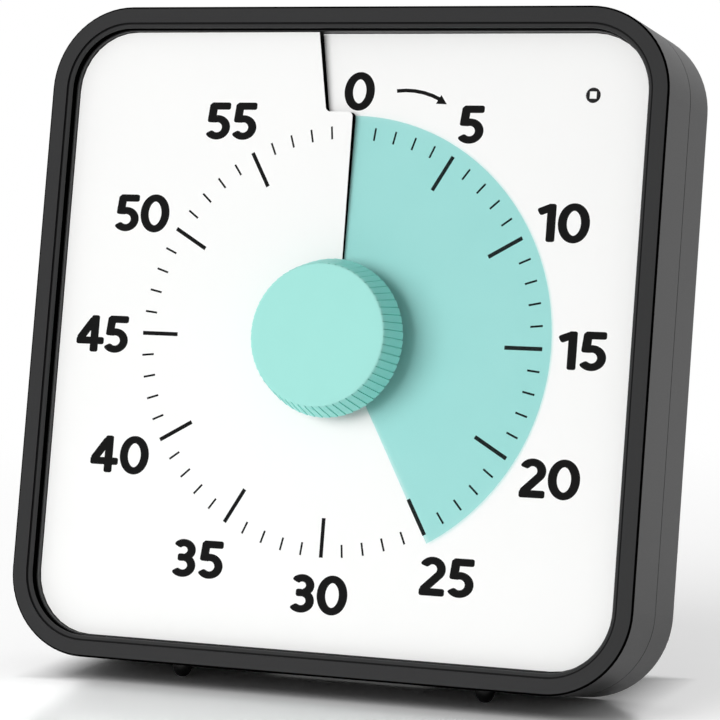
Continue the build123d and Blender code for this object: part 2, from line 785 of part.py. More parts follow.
def make_movement_tray():
    x, y = (tray_left, tray_right), (tray_bottom, tray_top)
    body = block(x, y, (tray_floor, lid_inner))
    floor_top = tray_floor + movement_wall
    body -= block((x[0] + movement_wall, x[1] - movement_wall), (y[0] + movement_wall, y[1] - movement_wall),
                  (floor_top, lid_inner))
    ear_z = (tray_floor, tray_floor + ear_thickness)
    for ear_x, ear_y in movement_ears():
        toward_tray = sorted((ear_x, ear_x - math.copysign(ear_reach + merge, ear_x)))
        body += rod(ear_x, ear_y, ear_radius, ear_z)
        body += block(toward_tray, (ear_y - ear_radius, ear_y + ear_radius), ear_z)
        body -= rod(ear_x, ear_y, small_screw_radius + small_shank_gap, ear_z)
    body += rod(0, 0, shaft_bush_radius, (tray_floor, floor_top + shaft_bush_height))
    body -= rod(0, 0, shaft_pivot_radius + running_gap, (tray_floor, floor_top + shaft_bush_height))
    for pivot_x, pivot_y in pivot_places():
        body -= rod(pivot_x, pivot_y, wheel_pivot_radius + running_gap, (tray_floor + pivot_floor, floor_top))
    return body


def make_movement_lid():
    body = block((tray_left, tray_right), (tray_bottom, tray_top), (lid_inner, lid_inner + lid_thickness))
    body = fillet(body.edges().filter_by(Axis.Z), lid_corner)
    body += rod(0, 0, shaft_radius + lid_collar_wall, (lid_inner, lid_collar_top))
    body -= rod(0, 0, shaft_radius + running_gap, (lid_inner, lid_collar_top))
    for x, y in pivot_places():
        body += rod(x, y, bush_radius, (lid_inner - bush_height, lid_inner + merge))
        body -= rod(x, y, wheel_pivot_radius + running_gap,
                    (lid_inner - bush_height, lid_inner + pivot_in_lid + pivot_end_gap))
    return body


def make_stator():
    """Soft iron plate from the coil's core to the hole round the rotor."""
    half = stator_width / 2
    body = block((stator_left, rotor_x), (rotor_y - half, rotor_y + half), stator_z)
    body += rod(rotor_x, rotor_y, half + stator_eye, stator_z)
    for x in (stator_left, stator_right):
        body += block((x, x + stator_leg), (coil_y - core_width / 2, rotor_y), stator_z)
    body -= block((stator_left + stator_leg, stator_right), (rotor_y - half, rotor_y + half - stator_slot),
                  stator_z)
    return body - rod(rotor_x, rotor_y, rotor_magnet_radius + stator_hole_gap, stator_z)


def make_motor_coil():
    left = stator_left + stator_leg + coil_gap + coil_flange
    right = left + coil_length
    body = cross_rod(coil_y, coil_z, coil_radius, (left, right))
    for edge in (left - coil_flange, right):
        body += block((edge, edge + coil_flange),
                      (coil_y - coil_flange_radius, coil_y + coil_flange_radius),
                      (coil_z - coil_flange_drop, coil_z + coil_flange_radius))
    core_z = (stator_z[1], stator_z[1] + core_thickness)
    return body + block((stator_left, stator_right + stator_leg),
                        (coil_y - core_width / 2, coil_y + core_width / 2), core_z)


# ---------------------------------------------------------------- power
def make_battery():
    half = battery_length / 2
    body = cross_rod(battery_y, battery_z, battery_radius, (-half, half))
    body = chamfer(body.edges().filter_by(GeomType.CIRCLE), battery_edge)
    return body + cross_rod(battery_y, battery_z, battery_button_radius, (half, half + battery_button))


def make_positive_contact():
    inner = bay_half_length
    body = block((inner - contact_thickness, inner),
                 (battery_y - contact_half_width, battery_y + contact_half_width),
                 (battery_z - contact_half_height, battery_z + contact_half_height))
    bump = battery_length / 2 + battery_button
    return body + cross_rod(battery_y, battery_z, contact_bump_radius, (bump, inner))


def make_negative_contact():
    """Bent leaf spring that presses on the flat end of the battery."""
    back = -bay_half_length + contact_thickness / 2
    touch = -battery_length / 2 - contact_thickness / 2
    top = contact_half_height
    path = Polyline((back, -top), (back, top - leaf_bend), (back + leaf_bend, top), (touch, leaf_touch_high),
                    (touch, -leaf_touch_low), (touch - leaf_tail_run, -leaf_tail_low))
    leaf = make_face(offset(path, contact_thickness / 2, side=Side.BOTH))
    shape = extrude(Plane.XZ * leaf, leaf_half_width, both=True)
    return Pos(0, battery_y, battery_z) * shape


def make_battery_cover():
    top = back_z + door_thickness
    plate = centred_block((0, battery_y), door_half_length, door_half_width, (back_z, top))
    plate = fillet(plate.edges().filter_by(Axis.Z), door_corner)
    for side in (-1, 1):
        reach = sorted((side * (door_half_length - tongue_reach), side * (door_half_length + tongue_reach)))
        for lower_edge in tongue_places:
            low = battery_y + lower_edge
            plate += block(reach, (low, low + tongue_length), (top - tongue_thickness, top))
    for index in range(grip_count):
        low = battery_y + door_half_width - grip_start - grip_pitch * index
        plate -= block((-grip_half_length, grip_half_length), (low, low + grip_width),
                       (back_z - past, back_z + grip_depth))
    return plate


# ---------------------------------------------------------------- electronics
def board_screw_places():
    x = board_x[0] + board_screw_inset
    return [(x, board_screw_y), (x, -board_screw_y)]


def make_circuit_board():
    body = block(board_x, board_y, (board_bottom, board_top))
    body = fillet(body.edges().filter_by(Axis.Z), board_corner)
    for x, y in board_screw_places():
        body -= rod(x, y, small_screw_radius + small_shank_gap, (board_bottom, board_top))
    return body


def make_control_chip():
    """Drop of resin over the control chip."""
    place = (board_x[0] + chip_inset[0], board_y[0] + chip_inset[1])
    body = rod(*place, chip_radius, (board_top, board_top + chip_height))
    return chamfer(top_edges(body), chip_edge)


def make_capacitor():
    place = (board_x[1] - capacitor_inset[0], board_y[1] - capacitor_inset[1])
    body = rod(*place, capacitor_radius, (board_top, board_top + capacitor_height))
    return chamfer(top_edges(body), capacitor_edge)


def make_switch_body():
    place = (switch_x, 0)
    low = board_bottom - switch_height
    body = centred_block(place, switch_half_length, switch_half_width, (low, board_bottom))
    return body - centred_block(place, slot_half_length, slot_half_width, (low, board_bottom - switch_wall))


def make_volume_slider():
    """Rests at the quiet end of its travel."""
    start = switch_x - slider_travel / 2
    low = back_z - slider_proud
    body = centred_block((start, 0), slider_half_length, slider_half_width,
                         (low, board_bottom - switch_wall - slider_gap))
    for index in range(slider_grooves):
        middle = start + (index - (slider_grooves - 1) / 2) * slider_groove_pitch
        body -= centred_block((middle, 0), slider_groove / 2, 2 * slider_half_width,
                              (low - past, low + slider_groove_depth))
    return body


def make_sounder():
    body = rod(sounder_x, sounder_y, sounder_radius, (back_inner, back_inner + sounder_height))
    body = chamfer(top_edges(body), sounder_edge)
    return body - rod(sounder_x, sounder_y, sounder_port_radius, (back_inner, back_inner + sounder_port_depth))


def led_surface():
    """Height of the dial at the indicator."""
    return sheet_height(math.degrees(math.atan2(led_x, led_y)), math.hypot(led_x, led_y))


led_flange_top = led_surface() - dial_thickness - led_flange_gap
led_board_top = led_flange_top - led_flange_thickness


def make_led_holder():
    front = led_surface() + led_stand_proud
    body = rod(led_x, led_y, led_holder_radius, (led_board_top, front))
    body = chamfer(top_edges(body), led_holder_edge)
    body += rod(led_x, led_y, led_flange_radius, (led_board_top, led_flange_top))
    return body - centred_block((led_x, led_y), led_pocket_half, led_pocket_half, (led_board_top, front))


def make_indicator_led():
    half = led_pocket_half - led_pocket_gap
    return centred_block((led_x, led_y), half, half, (led_board_top, led_surface() + led_stand_proud - led_sink))


def make_led_board():
    return block((led_x - led_board_left, led_x + led_board_right),
                 (led_y - led_board_low, led_y + led_board_high),
                 (led_board_top - led_board_thickness, led_board_top))


# ---------------------------------------------------------------- stand and feet
def opened(shape):
    """Turns a piece of the stand from folded to open about its pin."""
    return (Pos(0, stand_hinge_y, stand_hinge_z) * Rot(stand_open, 0, 0)
            * Pos(0, -stand_hinge_y, -stand_hinge_z) * shape)


def below_ground(height):
    """Everything under a plane this far above the ground."""
    big = 4 * case_half
    level = ground_height + height
    return Rot(lean, 0, 0) * Pos(0, level - big / 2, 0) * Box(big, big, big)


def leg_outline(inset, start, end):
    """Outline of the leg, straight below the hinge and then tapered."""
    half = stand_half_width - inset
    tip_half = stand_tip_half_width - inset
    bend = stand_hinge_y - stand_taper_start
    return make_face(Polyline((-half, start), (-half, bend), (-tip_half, end), (tip_half, end),
                              (half, bend), (half, start), close=True))


def make_stand_leg():
    outer = stand_hinge_z + stand_outer_offset
    inner = stand_hinge_z + stand_inner_offset
    end = stand_hinge_y - stand_length
    width = (-stand_half_width, stand_half_width)
    body = slab(leg_outline(0, stand_hinge_y + stand_heel, end), (outer, inner))
    body += cross_rod(stand_hinge_y, stand_hinge_z, stand_barrel, width)
    # cored out on the inner side, with ribs along and across
    core = leg_outline(stand_core_border, stand_hinge_y - stand_core_start, end + stand_core_end)
    for x in (-stand_rib_x, stand_rib_x):
        core -= Pos(x, (stand_hinge_y + end) / 2) * Rectangle(stand_rib, 2 * stand_length)
    for share in stand_rib_shares:
        core -= Pos(0, stand_hinge_y - stand_length * share) * Rectangle(4 * stand_half_width, stand_rib)
    body -= slab(core, (inner - stand_core_depth, inner))
    body -= cross_rod(stand_hinge_y, stand_hinge_z, stand_pin_radius + running_gap, width)
    return opened(body) - below_ground(stand_pad_height)


def make_stand_pad():
    outer = stand_hinge_z + stand_outer_offset + stand_pad_skin
    inner = stand_hinge_z + stand_inner_offset - stand_pad_skin
    end = stand_hinge_y - stand_length
    half = stand_tip_half_width - stand_pad_inset
    tip = opened(block((-half, half), (end, end + stand_pad_length), (outer, inner)))
    return (tip & below_ground(stand_pad_height)) - below_ground(0)


def make_stand_pin():
    end = pin_reach - pivot_end_gap
    return cross_rod(stand_hinge_y, stand_hinge_z, stand_pin_radius, (-end, end))


def make_foot(side):
    """Plug-in rubber foot: head inside the case, stem through the wall, tapered tip."""
    profile = Polyline((0, wall + foot_head), (foot_head_radius, wall + foot_head), (foot_head_radius, wall),
                       (foot_stem_radius, wall), (foot_stem_radius, 0), (foot_radius, 0),
                       (foot_waist_radius, -foot_waist), (foot_tip_radius, -foot_height),
                       (0, -foot_height), close=True)
    body = revolve(make_face(profile), Axis.Y)
    return Pos(side * foot_x, -case_half, seam_z) * body - below_ground(0)


# ---------------------------------------------------------------- screws
def screw(x, y, seat, length, radius, head, head_height, direction):
    """Pan head screw whose shank leaves the seat along +Z or -Z."""
    shank = sorted((seat, seat + direction * length))
    cap = sorted((seat, seat - direction * head_height))
    return rod(x, y, radius, shank) + rod(x, y, head, cap)


def make_case_screws():
    length = case_screw_tip - case_screw_seat - case_screw_end_gap
    return [screw(x, y, case_screw_seat, length, case_screw_radius, case_screw_head,
                  case_screw_head_height, 1) for x, y in screw_corners()]


def small_screws(places, seat):
    return [screw(x, y, seat, small_screw_length, small_screw_radius, small_screw_head,
                  small_screw_head_height, -1) for x, y in places]


pieces = {
    "front_frame": make_front_frame,
    "back_cover": make_back_cover,
    "dial_plate": make_dial_plate,
    "colour_disc": make_colour_disc,
    "knob": make_knob,
    "disc_hub": make_disc_hub,
    "drive_shaft": make_drive_shaft,
    "output_wheel": make_output_wheel,
    "clutch_spring": make_clutch_spring,
    "reduction_wheel": make_reduction_wheel,
    "rotor_pinion": make_rotor_pinion,
    "rotor_magnet": make_rotor_magnet,
    "movement_tray": make_movement_tray,
    "movement_lid": make_movement_lid,
    "stator": make_stator,
    "motor_coil": make_motor_coil,
    "battery": make_battery,
    "positive_contact": make_positive_contact,
    "negative_contact": make_negative_contact,
    "battery_cover": make_battery_cover,
    "circuit_board": make_circuit_board,
    "control_chip": make_control_chip,
    "capacitor": make_capacitor,
    "switch_body": make_switch_body,
    "volume_slider": make_volume_slider,
    "sounder": make_sounder,
    "led_holder": make_led_holder,
    "indicator_led": make_indicator_led,
    "led_board": make_led_board,
    "stand_leg": make_stand_leg,
    "stand_pad": make_stand_pad,
    "stand_pin": make_stand_pin,
    "left_foot": lambda: make_foot(-1),
    "right_foot": lambda: make_foot(1),
    "case_screws": make_case_screws,
    "movement_screws": lambda: small_screws(movement_ears(), tray_floor + ear_thickness),
    "board_screws": lambda: small_screws(board_screw_places(), board_top),
}

os.makedirs("parts", exist_ok=True)
stood = {}
for name, make in pieces.items():
    made = make()
    solids = [solid for item in (made if isinstance(made, list) else [made]) for solid in item.solids()]
    stood[name] = Rot(dial_tilt, 0, 0) * Compound(children=solids)

boxes = [shape.bounding_box() for shape in stood.values()]
middle_x = (min(box.min.X for box in boxes) + max(box.max.X for box in boxes)) / 2
middle_y = (min(box.min.Y for box in boxes) + max(box.max.Y for box in boxes)) / 2
placed = Pos(-middle_x, -middle_y, -ground_height)
for name, shape in stood.items():
    export_step(placed * shape, f"parts/{name}.step")
print("knob axis meets the dial at", -middle_x, -middle_y, -ground_height)
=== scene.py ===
import json
import math
import bmesh
import bpy
from mathutils import Matrix, Vector
from mathutils.geometry import delaunay_2d_cdt


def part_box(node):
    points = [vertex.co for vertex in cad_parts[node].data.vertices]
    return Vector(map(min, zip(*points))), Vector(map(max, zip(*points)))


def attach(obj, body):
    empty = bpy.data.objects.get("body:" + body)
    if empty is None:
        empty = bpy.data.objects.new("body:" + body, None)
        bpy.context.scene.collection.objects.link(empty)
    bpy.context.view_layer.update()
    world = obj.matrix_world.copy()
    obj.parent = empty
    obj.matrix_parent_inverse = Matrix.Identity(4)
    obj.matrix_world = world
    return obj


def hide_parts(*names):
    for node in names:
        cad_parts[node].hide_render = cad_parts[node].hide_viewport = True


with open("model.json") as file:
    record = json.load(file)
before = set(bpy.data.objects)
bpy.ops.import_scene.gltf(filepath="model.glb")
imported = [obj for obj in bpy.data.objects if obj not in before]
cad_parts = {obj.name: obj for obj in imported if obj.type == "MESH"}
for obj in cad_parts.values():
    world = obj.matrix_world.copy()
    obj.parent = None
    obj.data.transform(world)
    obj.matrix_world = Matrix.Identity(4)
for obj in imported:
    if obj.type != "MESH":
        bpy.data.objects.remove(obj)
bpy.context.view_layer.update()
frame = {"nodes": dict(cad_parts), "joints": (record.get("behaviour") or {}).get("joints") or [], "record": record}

mm = 0.001          # pieces are drawn in millimetres, Blender works in metres
minute = 6.0        # degrees on the dial
plainWhite = (1.0, 1.0, 1.0, 1.0)

# The dial's own frame: X right, Y up the dial, Z out towards the reader,
# with its origin where the knob's axis meets the dial.
knobJoint = next(joint for joint in frame["joints"] if joint["name"] == "knob_turn")
dialOut = -Vector(knobJoint["axis"]).normalized()
dialRight = Vector((1.0, 0.0, 0.0))
dialUp = dialOut.cross(dialRight)
dialPlace = (Matrix.Translation(knobJoint["pos_m"])
             @ Matrix((dialRight, dialUp, dialOut)).transposed().to_4x4()
             @ Matrix.Scale(mm, 4))
alongDial = (1.0, 1.0, 0.0)     # multiplied with a place, it leaves out the height over the dial


def toLinear(hexColour):
    # from sRGB to the linear values that the renderer works in
    channels = [int(hexColour[start:start + 2], 16) / 255.0 for start in (1, 3, 5)]
    linear = [c / 12.92 if c <= 0.04045 else ((c + 0.055) / 1.055) ** 2.4 for c in channels]
    return (*linear, 1.0)


def newMaterial(name):
    material = bpy.data.materials.new(name)
    material.use_nodes = True
    material.node_tree.nodes.clear()
    return material


def addNode(material, kind, inputs=None, **settings):
    # a socket as a value makes a link, anything else is set on the socket
    tree = material.node_tree
    node = tree.nodes.new("ShaderNode" + kind)
    for name, value in settings.items():
        setattr(node, name, value)
    for socket, value in (inputs or {}).items():
        if isinstance(value, bpy.types.NodeSocket):
            tree.links.new(value, node.inputs[socket])
        else:
            node.inputs[socket].default_value = value
    return node


def calculate(material, operation, *values):
    return addNode(material, "Math", dict(enumerate(values)), operation=operation).outputs[0]


def calculateVector(material, operation, *values):
    node = addNode(material, "VectorMath", dict(enumerate(values)), operation=operation)
    return node.outputs["Value" if operation == "LENGTH" else "Vector"]


def remap(material, value, source=(0.0, 1.0), target=(0.0, 1.0), **settings):
    # brings a value from one range to another
    return addNode(material, "MapRange", {
        "Value": value, "From Min": source[0], "From Max": source[1],
        "To Min": target[0], "To Max": target[1]}, **settings).outputs["Result"]


def noise(material, place, scale, detail):
    return addNode(material, "TexNoise", {
        "Vector": place, "Scale": scale, "Detail": detail}).outputs["Fac"]


def mixColours(material, factor, first, second):
    return addNode(material, "Mix", {
        "Factor": factor, "A": first, "B": second}, data_type="RGBA").outputs["Result"]


def bumpFrom(material, height, strength, depth):
    return addNode(material, "Bump", {
        "Height": height, "Strength": strength, "Distance": depth * mm}).outputs["Normal"]


def patternPlace(material):
    # patterns are fixed to the piece and measured in the dial's frame, in mm
    place = addNode(material, "TexCoord")
    toDial = dialPlace.inverted()
    return addNode(material, "Mapping", {
        "Vector": place.outputs["Object"], "Location": toDial.to_translation(),
        "Rotation": toDial.to_euler(), "Scale": toDial.to_scale()}).outputs["Vector"]


def finish(material, surface):
    addNode(material, "OutputMaterial", {"Surface": surface.outputs[0]})
    return material


# Moulded plastics: a colour that drifts a little, a spark-eroded or satin grain, uneven gloss.
# grainSize and driftSize are in mm; real grain is about 0.1 mm, drawn coarser so that it shows.
plastics = {
    "charcoal_abs": {   # ABS with a fine spark-eroded texture: near black, pale sheen at low angles
        "colour": "#121213", "drift": "#161617", "roughness": (0.42, 0.50), "ior": 1.48, "sheen": 0.5,
        "grainSize": 0.45, "grainDepth": 0.006, "driftSize": 14.0},
    "teal_abs": {       # satin moulded ABS knob: milky colour, soft highlight; its side is painted a brighter, deeper teal as painted bounce light
        "colour": "#a7e8df", "drift": "#a4e5dc", "roughness": (0.42, 0.50), "ior": 1.50, "sheen": 0.25,
        "grainSize": 0.50, "grainDepth": 0.004, "driftSize": 9.0,
        "rim": (19.0, 19.6), "rimColour": "#9ff1e7"},
    "natural_acetal": {  # moulded acetal: waxy off-white, slightly translucent look
        "colour": "#ece9e0", "drift": "#e2ded2", "roughness": (0.30, 0.42), "ior": 1.48, "sheen": 0.5,
        "grainSize": 0.8, "grainDepth": 0.006, "driftSize": 6.0},
    "black_nylon": {    # moulded nylon: plain black, faint gloss
        "colour": "#0f0f10", "drift": "#151516", "roughness": (0.35, 0.45), "ior": 1.53, "sheen": 0.2,
        "grainSize": 0.5, "grainDepth": 0.006, "driftSize": 4.0},
    "soft_rubber": {    # moulded rubber: black, dry, hardly shiny
        "colour": "#080808", "drift": "#101010", "roughness": (0.30, 0.45), "ior": 1.52, "sheen": 0.2,
        "grainSize": 0.35, "grainDepth": 0.02, "driftSize": 2.5},
    "resin": {          # poured epoxy: black and glossy
        "colour": "#0e0e0f", "drift": "#161617", "roughness": (0.12, 0.22), "ior": 1.55, "sheen": 0.5,
        "grainSize": 1.5, "grainDepth": 0.02, "driftSize": 3.0},
    "clear_resin": {    # milky LED resin
        "colour": "#fdfdfb", "drift": "#f8f9f6", "roughness": (0.15, 0.22), "ior": 1.54, "sheen": 0.5,
        "grainSize": 0.6, "grainDepth": 0.004, "driftSize": 1.5},
    "white_dial": {     # printed polystyrene sheet: white, satin
        "colour": "#fdfdfc", "drift": "#fbfbfa", "roughness": (0.40, 0.48), "ior": 1.45, "sheen": 0.5,
        "grainSize": 1.2, "grainDepth": 0.002, "driftSize": 30.0},
    "printed_ink": {    # screen-printed matt ink: deep black that takes hardly any light from the room
        "colour": "#131313", "drift": "#161616", "roughness": (0.55, 0.65), "ior": 1.45, "sheen": 0.08,
        "grainSize": 0.7, "grainDepth": 0.004, "driftSize": 5.0},
    "black_backing": {  # black back and cut edges of the dial sheet, painted shade: they make the cut read as a dark gap
        "colour": "#060606", "drift": "#080808", "roughness": (0.60, 0.70), "ior": 1.45, "sheen": 0.02,
        "grainSize": 0.7, "grainDepth": 0.004, "driftSize": 5.0},
}
plasticSkin = {"driftDetail": 3.0, "grainDetail": 2.0, "bump": 0.6}


def plasticSurface(material, look, place):
    drift = noise(material, place, 1 / look["driftSize"], plasticSkin["driftDetail"])
    colour = mixColours(material, drift, toLinear(look["colour"]), toLinear(look["drift"]))
    if "rim" in look:       # past this distance from the dial's axis, a brighter teal painted on as bounce light between knob and disc
        flat = calculateVector(material, "MULTIPLY", place, alongDial)
        share = remap(material, calculateVector(material, "LENGTH", flat), look["rim"])
        colour = mixColours(material, share, colour, toLinear(look["rimColour"]))
    grain = noise(material, place, 1 / look["grainSize"], plasticSkin["grainDetail"])
    return addNode(material, "BsdfPrincipled", {
        "Base Color": colour, "Roughness": remap(material, grain, target=look["roughness"]),
        "IOR": look["ior"], "Specular IOR Level": look["sheen"],
        "Normal": bumpFrom(material, grain, plasticSkin["bump"], look["grainDepth"])})


def mouldedPlastic(name, look):
    material = newMaterial(name)
    return finish(material, plasticSurface(material, look, patternPlace(material)))


# The front frame's outer edge and the steps down to the dial are painted darker than the plastic
# round them: a painted dark line on the rounded outer edge, and painted shade in the groove and
# on the well's wall. These bands stay dark in any light.
paintedFrameShade = {
    "straight": 67.0,       # half length of the frame's straight sides
    "dark": "#020202", "sheen": 0.0, "roughness": 0.5,
    "bands": (              # mm from the corners' centres, mm over the dial, and how dark, 1 at most
        (22.45, 23.5, 4.75, 6.0, 1.0),      # rounded outer edge
        (18.05, 18.65, 4.3, 4.75, 0.6),     # bottom of the groove round the inner step
        (16.95, 17.22, 1.9, 4.2, 1.0)),     # wall of the well round the dial
}


def frameFinish(look):
    material = newMaterial("charcoal_abs_frame_painted_shade")
    place = patternPlace(material)
    plain = plasticSurface(material, look, place)
    straight = paintedFrameShade["straight"]
    past = calculateVector(material, "ABSOLUTE", place)
    past = calculateVector(material, "SUBTRACT", past, (straight, straight, 0.0))
    past = calculateVector(material, "MAXIMUM", past, (0.0, 0.0, 0.0))
    past = calculateVector(material, "MULTIPLY", past, alongDial)
    reach = calculateVector(material, "LENGTH", past)
    height = addNode(material, "SeparateXYZ", {"Vector": place}).outputs["Z"]
    mask = 0.0
    for inner, outer, low, high, band in paintedFrameShade["bands"]:
        for value, start, end in ((reach, inner, outer), (height, low, high)):
            within = calculate(material, "COMPARE", value, (start + end) / 2, (end - start) / 2)
            band = calculate(material, "MULTIPLY", within, band)
        mask = calculate(material, "MAXIMUM", band, mask)
    # the painted shade: a near black, unshiny surface mixed in over the bands
    dark = addNode(material, "BsdfPrincipled", {
        "Base Color": toLinear(paintedFrameShade["dark"]), "Roughness": paintedFrameShade["roughness"],
        "Specular IOR Level": paintedFrameShade["sheen"]})
    surface = addNode(material, "MixShader", {0: mask, 1: plain.outputs[0], 2: dark.outputs[0]})
    return finish(material, surface)


# Metals: brushed or drawn streaks in the roughness, a few darker patches.
metals = {
    "steel": {          # bright zinc plate: pale grey, fine turned marks
        "colour": "#c4c6c8", "stain": "#9fa2a6", "roughness": (0.22, 0.38), "streak": (0.15, 3.0, 3.0)},
    "nickel_strip": {   # rolled nickel-plated strip
        "colour": "#cfcabf", "stain": "#b3aea2", "roughness": (0.18, 0.30), "streak": (3.0, 0.2, 3.0)},
    "soft_iron": {      # stamped iron, oiled
        "colour": "#8f9092", "stain": "#6f6f70", "roughness": (0.40, 0.60), "streak": (2.0, 2.0, 2.0)},
    "ferrite": {        # ground ferrite: dark grey, dull
        "colour": "#3c3d40", "stain": "#2e2e30", "roughness": (0.50, 0.65), "streak": (0.5, 0.5, 0.5)},
}
metalSkin = {"streakDetail": 3.0, "patchSize": 4.0, "patchDetail": 4.0, "bump": 0.3, "bumpDepth": 0.01}


def platedMetal(name, look):
    material = newMaterial(name)
    place = patternPlace(material)
    stretched = addNode(material, "Mapping", {
        "Vector": place, "Scale": tuple(1 / size for size in look["streak"])}).outputs["Vector"]
    streaks = noise(material, stretched, 1.0, metalSkin["streakDetail"])
    patches = noise(material, place, 1 / metalSkin["patchSize"], metalSkin["patchDetail"])
    return finish(material, addNode(material, "BsdfPrincipled", {
        "Base Color": mixColours(material, patches, toLinear(look["colour"]), toLinear(look["stain"])),
        "Roughness": remap(material, streaks, target=look["roughness"]), "Metallic": 1.0,
        "Normal": bumpFrom(material, streaks, metalSkin["bump"], metalSkin["bumpDepth"])}))


# Calendered PET film with a satin skin. Only the front skin is dyed: it tints light each time
# light passes it, and the back stays clear.
films = {
    "teal_film": {"tint": "#cef1ef", "drift": "#caefed", "gloss": 0.012, "roughness": 0.32},
    "film_back": {"tint": "#ffffff", "drift": "#fefefe", "gloss": 0.004, "roughness": 0.40},
}
filmSkin = {"driftSize": 20.0, "driftDetail": 2.0}


def tintedFilm(name, look):
    material = newMaterial(name)
    drift = noise(material, patternPlace(material), 1 / filmSkin["driftSize"], filmSkin["driftDetail"])
    tint = mixColours(material, drift, toLinear(look["tint"]), toLinear(look["drift"]))
    through = addNode(material, "BsdfTransparent", {"Color": tint})
    sheen = addNode(material, "BsdfGlossy", {"Color": plainWhite, "Roughness": look["roughness"]})
    surface = addNode(material, "MixShader", {
        0: look["gloss"], 1: through.outputs[0], 2: sheen.outputs[0]})
    return finish(material, surface)


# Enamelled wire, 0.2 mm, wound in layers: drawn at 0.5 mm so that the turns show.
copper = {"colour": "#b8673a", "gap": "#5e2a14", "wire": 0.5, "wander": 0.3,
          "roughness": 0.35, "metal": 0.6, "bump": 0.8, "bumpDepth": 0.1}
wavePeriod = 0.1 * math.pi      # what one wave of the texture measures at a scale of 1


def copperWinding():
    material = newMaterial("copper_winding")
    turns = addNode(material, "TexWave", {
        "Vector": patternPlace(material), "Scale": wavePeriod / copper["wire"],
        "Distortion": copper["wander"]}, bands_direction="X", wave_profile="SIN").outputs["Fac"]
    return finish(material, addNode(material, "BsdfPrincipled", {
        "Base Color": mixColours(material, turns, toLinear(copper["gap"]), toLinear(copper["colour"])),
        "Roughness": copper["roughness"], "Metallic": copper["metal"],
        "Normal": bumpFrom(material, turns, copper["bump"], copper["bumpDepth"])}))


# Shrunk plastic sleeve: a dark body and a copper-coloured band towards the button.
jacket = {"body": "#3a3c40", "band": "#b98a3c", "bandStart": 13.0, "roughness": 0.22, "ior": 1.54,
          "ripple": 0.3, "rippleDetail": 2.0, "bump": 0.4, "bumpDepth": 0.1}


def batteryJacket():
    material = newMaterial("battery_jacket")
    place = patternPlace(material)
    along = addNode(material, "SeparateXYZ", {"Vector": place}).outputs["X"]
    band = calculate(material, "GREATER_THAN", along, jacket["bandStart"])
    ripple = noise(material, place, jacket["ripple"], jacket["rippleDetail"])
    return finish(material, addNode(material, "BsdfPrincipled", {
        "Base Color": mixColours(material, band, toLinear(jacket["body"]), toLinear(jacket["band"])),
        "Roughness": jacket["roughness"], "IOR": jacket["ior"],
        "Normal": bumpFrom(material, ripple, jacket["bump"], jacket["bumpDepth"])}))


# Glass laminate under green solder mask: the weave shows as a faint grid, tracks as lighter green.
laminate = {"mask": "#1c6b36", "track": "#2f8a4c", "weave": 0.6, "trackPitch": 2.54,
            "trackWidth": 0.08, "trackLength": 3.0, "roughness": 0.28, "ior": 1.55,
            "bump": 0.2, "bumpDepth": 0.02}


def boardLaminate():
    material = newMaterial("board_laminate")
    place = patternPlace(material)
    mask = toLinear(laminate["mask"])
    tracks = addNode(material, "TexBrick", {
        "Vector": place, "Color1": mask, "Color2": mask, "Mortar": toLinear(laminate["track"]),
        "Scale": 1 / laminate["trackPitch"], "Mortar Size": laminate["trackWidth"],
        "Brick Width": laminate["trackLength"], "Row Height": 1.0})
    weave = addNode(material, "TexChecker", {"Vector": place, "Scale": 1 / laminate["weave"]})
    return finish(material, addNode(material, "BsdfPrincipled", {
        "Base Color": tracks.outputs["Color"], "Roughness": laminate["roughness"], "IOR": laminate["ior"],
        "Normal": bumpFrom(material, weave.outputs["Fac"], laminate["bump"], laminate["bumpDepth"])}))


finishes = {name: mouldedPlastic(name, look) for name, look in plastics.items()}
finishes.update({name: platedMetal(name, look) for name, look in metals.items()})
finishes.update({name: tintedFilm(name, look) for name, look in films.items()})
finishes["copper_winding"] = copperWinding()
finishes["battery_jacket"] = batteryJacket()
finishes["board_laminate"] = boardLaminate()
finishes["charcoal_abs_frame_painted_shade"] = frameFinish(plastics["charcoal_abs"])
ownFinish = {"front_frame": "charcoal_abs_frame_painted_shade"}

for subpart in frame["record"]["subparts"]:
    part = frame["nodes"][subpart["node"]]
    for slot in part.material_slots:
        slot.material = finishes[ownFinish.get(subpart["node"], subpart["material_slot"])]
print("finishes made:", len(finishes))


def clockPoint(radius, angle):
    # angles on the dial run clockwise from the top
    turn = math.radians(angle)
    return Vector((radius * math.sin(turn), radius * math.cos(turn)))


def arcPoints(centre, radiusX, radiusY, start, end, step=7.5):
    # ordinary angles, anticlockwise from the right, in degrees
    count = max(2, math.ceil(abs(end - start) / step))
    turns = [math.radians(start + (end - start) * index / count) for index in range(count + 1)]
    return [Vector((centre[0] + radiusX * math.cos(t), centre[1] + radiusY * math.sin(t))) for t in turns]


def roundedCorner(before, corner, after, radius, steps=8):
    before, corner, after = Vector(before), Vector(corner), Vector(after)
    inward, onward = (before - corner).normalized(), (after - corner).normalized()
    half = inward.angle(onward) / 2
    centre = corner + (inward + onward).normalized() * radius / math.sin(half)
    reach = radius / math.tan(half)
    start, end = corner + inward * reach - centre, corner + onward * reach - centre
    sweep = start.angle_signed(end)
    return [centre + Matrix.Rotation(-sweep * index / steps, 2) @ start for index in range(steps + 1)]


def subdivided(points, step):
    # closed outline with no side longer than step
    fine = []
    for start, end in zip(points, points[1:] + points[:1]):
        count = max(1, math.ceil((end - start).length / step))
        fine += [start.lerp(end, index / count) for index in range(count)]
    return fine


def joinRings(shape, rings):
    for near, far in zip(rings, rings[1:]):
        for i in range(len(near)):
            j = (i + 1) % len(near)
            shape.faces.new((near[i], near[j], far[j], far[i]))


def closeRing(shape, ring, tip):
    for i, corner in enumerate(ring):
        shape.faces.new((corner, ring[(i + 1) % len(ring)], tip))


